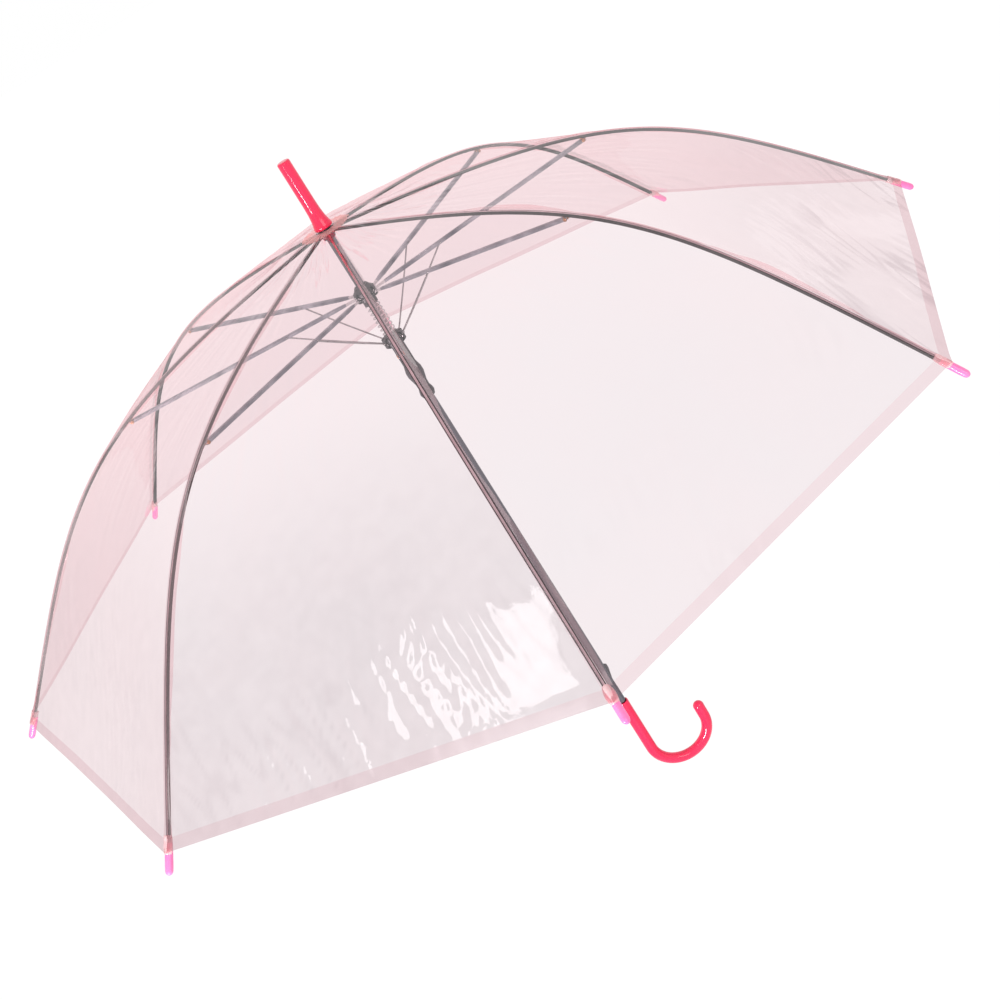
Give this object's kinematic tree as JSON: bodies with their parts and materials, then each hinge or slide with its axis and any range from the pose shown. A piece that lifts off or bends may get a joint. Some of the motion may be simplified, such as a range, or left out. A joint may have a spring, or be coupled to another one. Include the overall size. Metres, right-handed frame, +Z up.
{
  "type": "umbrella",
  "caption": "Child's automatic stick umbrella: clear film canopy on folding steel ribs, sliding hub and runner, pink ferrule and hook handle.",
  "frame": {"origin": "on the shaft axis at the middle of the straight grip, where a hand holds it", "axes": "+Z up the shaft towards the ferrule, +X towards the open side of the hook"},
  "size_m": [0.9742, 0.9742, 0.7483],
  "materials": {
    "canopy_film": "gloss",
    "rosette_film": "gloss",
    "pink_plastic": "gloss",
    "tip_plastic": "satin",
    "black_plastic": "satin",
    "shaft_steel": "gloss",
    "rib_steel": "satin",
    "wire_steel": "bright"
  },
  "bodies": {
    "frame": {"shaft": "shaft_steel", "ferrule": "pink_plastic", "crown": "black_plastic", "crown_wire": "wire_steel", "rosette": "rosette_film", "handle": "pink_plastic"},
    "catch": {"catch": "black_plastic"},
    "hub_body": {"hub": "black_plastic", "hub_wire": "wire_steel", "spring": "wire_steel"},
    "runner_body": {"runner": "black_plastic", "runner_wire": "wire_steel"},
    "rib_arm_1": {"rib_1": "rib_steel", "tip_1": "tip_plastic"},
    "stretcher_arm_1": {"stretcher_1": "rib_steel"},
    "link_arm_1": {"link_1": "wire_steel"},
    "film_left_1": {"film_1_left": "canopy_film"},
    "film_right_1": {"film_1_right": "canopy_film"},
    "rib_arm_2": {"rib_2": "rib_steel", "tip_2": "tip_plastic"},
    "stretcher_arm_2": {"stretcher_2": "rib_steel"},
    "link_arm_2": {"link_2": "wire_steel"},
    "film_left_2": {"film_2_left": "canopy_film"},
    "film_right_2": {"film_2_right": "canopy_film"},
    "rib_arm_3": {"rib_3": "rib_steel", "tip_3": "tip_plastic"},
    "stretcher_arm_3": {"stretcher_3": "rib_steel"},
    "link_arm_3": {"link_3": "wire_steel"},
    "film_left_3": {"film_3_left": "canopy_film"},
    "film_right_3": {"film_3_right": "canopy_film"},
    "rib_arm_4": {"rib_4": "rib_steel", "tip_4": "tip_plastic"},
    "stretcher_arm_4": {"stretcher_4": "rib_steel"},
    "link_arm_4": {"link_4": "wire_steel"},
    "film_left_4": {"film_4_left": "canopy_film"},
    "film_right_4": {"film_4_right": "canopy_film"},
    "rib_arm_5": {"rib_5": "rib_steel", "tip_5": "tip_plastic"},
    "stretcher_arm_5": {"stretcher_5": "rib_steel"},
    "link_arm_5": {"link_5": "wire_steel"},
    "film_left_5": {"film_5_left": "canopy_film"},
    "film_right_5": {"film_5_right": "canopy_film"},
    "rib_arm_6": {"rib_6": "rib_steel", "tip_6": "tip_plastic"},
    "stretcher_arm_6": {"stretcher_6": "rib_steel"},
    "link_arm_6": {"link_6": "wire_steel"},
    "film_left_6": {"film_6_left": "canopy_film"},
    "film_right_6": {"film_6_right": "canopy_film"},
    "rib_arm_7": {"rib_7": "rib_steel", "tip_7": "tip_plastic"},
    "stretcher_arm_7": {"stretcher_7": "rib_steel"},
    "link_arm_7": {"link_7": "wire_steel"},
    "film_left_7": {"film_7_left": "canopy_film"},
    "film_right_7": {"film_7_right": "canopy_film"},
    "rib_arm_8": {"rib_8": "rib_steel", "tip_8": "tip_plastic"},
    "stretcher_arm_8": {"stretcher_8": "rib_steel"},
    "link_arm_8": {"link_8": "wire_steel"},
    "film_left_8": {"film_8_left": "canopy_film"},
    "film_right_8": {"film_8_right": "canopy_film"}
  },
  "joints": [
    {"name": "canopy_fold", "type": "hinge", "parent": "frame", "child": "rib_arm_1", "pos_m": [0.0095, 0, 0.605], "axis": [0, 1, 0], "range_deg": [0, 60.6], "stiffness_Nm_per_rad": 1.5, "springref_deg": -114.59},
    {"name": "stretcher_fold_1", "type": "hinge", "parent": "rib_arm_1", "child": "stretcher_arm_1", "pos_m": [0.2328, 0, 0.55396], "axis": [0, 1, 0], "range_deg": [-130.1, 0]},
    {"name": "link_fold_1", "type": "hinge", "parent": "stretcher_arm_1", "child": "link_arm_1", "pos_m": [0.07936, 0, 0.54407], "axis": [0, 1, 0], "range_deg": [0, 29.91]},
    {"name": "film_pleat_1_left", "type": "hinge", "parent": "rib_arm_1", "child": "film_left_1", "pos_m": [0.0095, 0, 0.605], "axis": [0.8847, 0, -0.4662], "range_deg": [0, 75], "deforming": ["film_1_left"]},
    {"name": "film_pleat_1_right", "type": "hinge", "parent": "rib_arm_1", "child": "film_right_1", "pos_m": [0.0095, 0, 0.605], "axis": [0.8847, 0, -0.4662], "range_deg": [-75, 0], "deforming": ["film_1_right"]},
    {"name": "rib_fold_2", "type": "hinge", "parent": "frame", "child": "rib_arm_2", "pos_m": [0.00672, 0.00672, 0.605], "axis": [-0.7071, 0.7071, 0], "range_deg": [0, 60.6]},
    {"name": "stretcher_fold_2", "type": "hinge", "parent": "rib_arm_2", "child": "stretcher_arm_2", "pos_m": [0.16462, 0.16462, 0.55396], "axis": [-0.7071, 0.7071, 0], "range_deg": [-130.1, 0]},
    {"name": "link_fold_2", "type": "hinge", "parent": "stretcher_arm_2", "child": "link_arm_2", "pos_m": [0.05612, 0.05612, 0.54407], "axis": [-0.7071, 0.7071, 0], "range_deg": [0, 29.91]},
    {"name": "film_pleat_2_left", "type": "hinge", "parent": "rib_arm_2", "child": "film_left_2", "pos_m": [0.00672, 0.00672, 0.605], "axis": [0.6255, 0.6255, -0.4662], "range_deg": [0, 75], "deforming": ["film_2_left"]},
    {"name": "film_pleat_2_right", "type": "hinge", "parent": "rib_arm_2", "child": "film_right_2", "pos_m": [0.00672, 0.00672, 0.605], "axis": [0.6255, 0.6255, -0.4662], "range_deg": [-75, 0], "deforming": ["film_2_right"]},
    {"name": "rib_fold_3", "type": "hinge", "parent": "frame", "child": "rib_arm_3", "pos_m": [0, 0.0095, 0.605], "axis": [-1, 0, 0], "range_deg": [0, 60.6]},
    {"name": "stretcher_fold_3", "type": "hinge", "parent": "rib_arm_3", "child": "stretcher_arm_3", "pos_m": [0, 0.2328, 0.55396], "axis": [-1, 0, 0], "range_deg": [-130.1, 0]},
    {"name": "link_fold_3", "type": "hinge", "parent": "stretcher_arm_3", "child": "link_arm_3", "pos_m": [0, 0.07936, 0.54407], "axis": [-1, 0, 0], "range_deg": [0, 29.91]},
    {"name": "film_pleat_3_left", "type": "hinge", "parent": "rib_arm_3", "child": "film_left_3", "pos_m": [0, 0.0095, 0.605], "axis": [0, 0.8847, -0.4662], "range_deg": [0, 75], "deforming": ["film_3_left"]},
    {"name": "film_pleat_3_right", "type": "hinge", "parent": "rib_arm_3", "child": "film_right_3", "pos_m": [0, 0.0095, 0.605], "axis": [0, 0.8847, -0.4662], "range_deg": [-75, 0], "deforming": ["film_3_right"]},
    {"name": "rib_fold_4", "type": "hinge", "parent": "frame", "child": "rib_arm_4", "pos_m": [-0.00672, 0.00672, 0.605], "axis": [-0.7071, -0.7071, 0], "range_deg": [0, 60.6]},
    {"name": "stretcher_fold_4", "type": "hinge", "parent": "rib_arm_4", "child": "stretcher_arm_4", "pos_m": [-0.16462, 0.16462, 0.55396], "axis": [-0.7071, -0.7071, 0], "range_deg": [-130.1, 0]},
    {"name": "link_fold_4", "type": "hinge", "parent": "stretcher_arm_4", "child": "link_arm_4", "pos_m": [-0.05612, 0.05612, 0.54407], "axis": [-0.7071, -0.7071, 0], "range_deg": [0, 29.91]},
    {"name": "film_pleat_4_left", "type": "hinge", "parent": "rib_arm_4", "child": "film_left_4", "pos_m": [-0.00672, 0.00672, 0.605], "axis": [-0.6255, 0.6255, -0.4662], "range_deg": [0, 75], "deforming": ["film_4_left"]},
    {"name": "film_pleat_4_right", "type": "hinge", "parent": "rib_arm_4", "child": "film_right_4", "pos_m": [-0.00672, 0.00672, 0.605], "axis": [-0.6255, 0.6255, -0.4662], "range_deg": [-75, 0], "deforming": ["film_4_right"]},
    {"name": "rib_fold_5", "type": "hinge", "parent": "frame", "child": "rib_arm_5", "pos_m": [-0.0095, 0, 0.605], "axis": [0, -1, 0], "range_deg": [0, 60.6]},
    {"name": "stretcher_fold_5", "type": "hinge", "parent": "rib_arm_5", "child": "stretcher_arm_5", "pos_m": [-0.2328, 0, 0.55396], "axis": [0, -1, 0], "range_deg": [-130.1, 0]},
    {"name": "link_fold_5", "type": "hinge", "parent": "stretcher_arm_5", "child": "link_arm_5", "pos_m": [-0.07936, 0, 0.54407], "axis": [0, -1, 0], "range_deg": [0, 29.91]},
    {"name": "film_pleat_5_left", "type": "hinge", "parent": "rib_arm_5", "child": "film_left_5", "pos_m": [-0.0095, 0, 0.605], "axis": [-0.8847, 0, -0.4662], "range_deg": [0, 75], "deforming": ["film_5_left"]},
    {"name": "film_pleat_5_right", "type": "hinge", "parent": "rib_arm_5", "child": "film_right_5", "pos_m": [-0.0095, 0, 0.605], "axis": [-0.8847, 0, -0.4662], "range_deg": [-75, 0], "deforming": ["film_5_right"]},
    {"name": "rib_fold_6", "type": "hinge", "parent": "frame", "child": "rib_arm_6", "pos_m": [-0.00672, -0.00672, 0.605], "axis": [0.7071, -0.7071, 0], "range_deg": [0, 60.6]},
    {"name": "stretcher_fold_6", "type": "hinge", "parent": "rib_arm_6", "child": "stretcher_arm_6", "pos_m": [-0.16462, -0.16462, 0.55396], "axis": [0.7071, -0.7071, 0], "range_deg": [-130.1, 0]},
    {"name": "link_fold_6", "type": "hinge", "parent": "stretcher_arm_6", "child": "link_arm_6", "pos_m": [-0.05612, -0.05612, 0.54407], "axis": [0.7071, -0.7071, 0], "range_deg": [0, 29.91]},
    {"name": "film_pleat_6_left", "type": "hinge", "parent": "rib_arm_6", "child": "film_left_6", "pos_m": [-0.00672, -0.00672, 0.605], "axis": [-0.6255, -0.6255, -0.4662], "range_deg": [0, 75], "deforming": ["film_6_left"]},
    {"name": "film_pleat_6_right", "type": "hinge", "parent": "rib_arm_6", "child": "film_right_6", "pos_m": [-0.00672, -0.00672, 0.605], "axis": [-0.6255, -0.6255, -0.4662], "range_deg": [-75, 0], "deforming": ["film_6_right"]},
    {"name": "rib_fold_7", "type": "hinge", "parent": "frame", "child": "rib_arm_7", "pos_m": [0, -0.0095, 0.605], "axis": [1, 0, 0], "range_deg": [0, 60.6]},
    {"name": "stretcher_fold_7", "type": "hinge", "parent": "rib_arm_7", "child": "stretcher_arm_7", "pos_m": [0, -0.2328, 0.55396], "axis": [1, 0, 0], "range_deg": [-130.1, 0]},
    {"name": "link_fold_7", "type": "hinge", "parent": "stretcher_arm_7", "child": "link_arm_7", "pos_m": [0, -0.07936, 0.54407], "axis": [1, 0, 0], "range_deg": [0, 29.91]},
    {"name": "film_pleat_7_left", "type": "hinge", "parent": "rib_arm_7", "child": "film_left_7", "pos_m": [0, -0.0095, 0.605], "axis": [0, -0.8847, -0.4662], "range_deg": [0, 75], "deforming": ["film_7_left"]},
    {"name": "film_pleat_7_right", "type": "hinge", "parent": "rib_arm_7", "child": "film_right_7", "pos_m": [0, -0.0095, 0.605], "axis": [0, -0.8847, -0.4662], "range_deg": [-75, 0], "deforming": ["film_7_right"]},
    {"name": "rib_fold_8", "type": "hinge", "parent": "frame", "child": "rib_arm_8", "pos_m": [0.00672, -0.00672, 0.605], "axis": [0.7071, 0.7071, 0], "range_deg": [0, 60.6]},
    {"name": "stretcher_fold_8", "type": "hinge", "parent": "rib_arm_8", "child": "stretcher_arm_8", "pos_m": [0.16462, -0.16462, 0.55396], "axis": [0.7071, 0.7071, 0], "range_deg": [-130.1, 0]},
    {"name": "link_fold_8", "type": "hinge", "parent": "stretcher_arm_8", "child": "link_arm_8", "pos_m": [0.05612, -0.05612, 0.54407], "axis": [0.7071, 0.7071, 0], "range_deg": [0, 29.91]},
    {"name": "film_pleat_8_left", "type": "hinge", "parent": "rib_arm_8", "child": "film_left_8", "pos_m": [0.00672, -0.00672, 0.605], "axis": [0.6255, -0.6255, -0.4662], "range_deg": [0, 75], "deforming": ["film_8_left"]},
    {"name": "film_pleat_8_right", "type": "hinge", "parent": "rib_arm_8", "child": "film_right_8", "pos_m": [0.00672, -0.00672, 0.605], "axis": [0.6255, -0.6255, -0.4662], "range_deg": [-75, 0], "deforming": ["film_8_right"]},
    {"name": "hub_slide", "type": "slide", "parent": "frame", "child": "hub_body", "axis": [0, 0, 1], "range_m": [-0.36874, 0], "deforming": ["spring"]},
    {"name": "runner_slide", "type": "slide", "parent": "frame", "child": "runner_body", "axis": [0, 0, 1], "range_m": [-0.33853, 0]},
    {"name": "catch_press", "type": "hinge", "parent": "frame", "child": "catch", "pos_m": [0.0019, 0, 0.057], "axis": [0, 1, 0], "range_deg": [-6, 0], "stiffness_Nm_per_rad": 0.02, "springref_deg": 8.59}
  ],
  "couplings": [
    {"joint": "stretcher_fold_1", "follows": "canopy_fold", "ratio": -2.1468},
    {"joint": "link_fold_1", "follows": "canopy_fold", "ratio": 0.49355},
    {"joint": "film_pleat_1_left", "follows": "canopy_fold", "ratio": 1.2376},
    {"joint": "film_pleat_1_right", "follows": "canopy_fold", "ratio": -1.2376},
    {"joint": "rib_fold_2", "follows": "canopy_fold", "ratio": 1},
    {"joint": "stretcher_fold_2", "follows": "canopy_fold", "ratio": -2.1468},
    {"joint": "link_fold_2", "follows": "canopy_fold", "ratio": 0.49355},
    {"joint": "film_pleat_2_left", "follows": "canopy_fold", "ratio": 1.2376},
    {"joint": "film_pleat_2_right", "follows": "canopy_fold", "ratio": -1.2376},
    {"joint": "rib_fold_3", "follows": "canopy_fold", "ratio": 1},
    {"joint": "stretcher_fold_3", "follows": "canopy_fold", "ratio": -2.1468},
    {"joint": "link_fold_3", "follows": "canopy_fold", "ratio": 0.49355},
    {"joint": "film_pleat_3_left", "follows": "canopy_fold", "ratio": 1.2376},
    {"joint": "film_pleat_3_right", "follows": "canopy_fold", "ratio": -1.2376},
    {"joint": "rib_fold_4", "follows": "canopy_fold", "ratio": 1},
    {"joint": "stretcher_fold_4", "follows": "canopy_fold", "ratio": -2.1468},
    {"joint": "link_fold_4", "follows": "canopy_fold", "ratio": 0.49355},
    {"joint": "film_pleat_4_left", "follows": "canopy_fold", "ratio": 1.2376},
    {"joint": "film_pleat_4_right", "follows": "canopy_fold", "ratio": -1.2376},
    {"joint": "rib_fold_5", "follows": "canopy_fold", "ratio": 1},
    {"joint": "stretcher_fold_5", "follows": "canopy_fold", "ratio": -2.1468},
    {"joint": "link_fold_5", "follows": "canopy_fold", "ratio": 0.49355},
    {"joint": "film_pleat_5_left", "follows": "canopy_fold", "ratio": 1.2376},
    {"joint": "film_pleat_5_right", "follows": "canopy_fold", "ratio": -1.2376},
    {"joint": "rib_fold_6", "follows": "canopy_fold", "ratio": 1},
    {"joint": "stretcher_fold_6", "follows": "canopy_fold", "ratio": -2.1468},
    {"joint": "link_fold_6", "follows": "canopy_fold", "ratio": 0.49355},
    {"joint": "film_pleat_6_left", "follows": "canopy_fold", "ratio": 1.2376},
    {"joint": "film_pleat_6_right", "follows": "canopy_fold", "ratio": -1.2376},
    {"joint": "rib_fold_7", "follows": "canopy_fold", "ratio": 1},
    {"joint": "stretcher_fold_7", "follows": "canopy_fold", "ratio": -2.1468},
    {"joint": "link_fold_7", "follows": "canopy_fold", "ratio": 0.49355},
    {"joint": "film_pleat_7_left", "follows": "canopy_fold", "ratio": 1.2376},
    {"joint": "film_pleat_7_right", "follows": "canopy_fold", "ratio": -1.2376},
    {"joint": "rib_fold_8", "follows": "canopy_fold", "ratio": 1},
    {"joint": "stretcher_fold_8", "follows": "canopy_fold", "ratio": -2.1468},
    {"joint": "link_fold_8", "follows": "canopy_fold", "ratio": 0.49355},
    {"joint": "film_pleat_8_left", "follows": "canopy_fold", "ratio": 1.2376},
    {"joint": "film_pleat_8_right", "follows": "canopy_fold", "ratio": -1.2376},
    {"joint": "hub_slide", "follows": "canopy_fold", "m_per_rad": -0.34854},
    {"joint": "runner_slide", "follows": "canopy_fold", "m_per_rad": -0.31998}
  ]
}
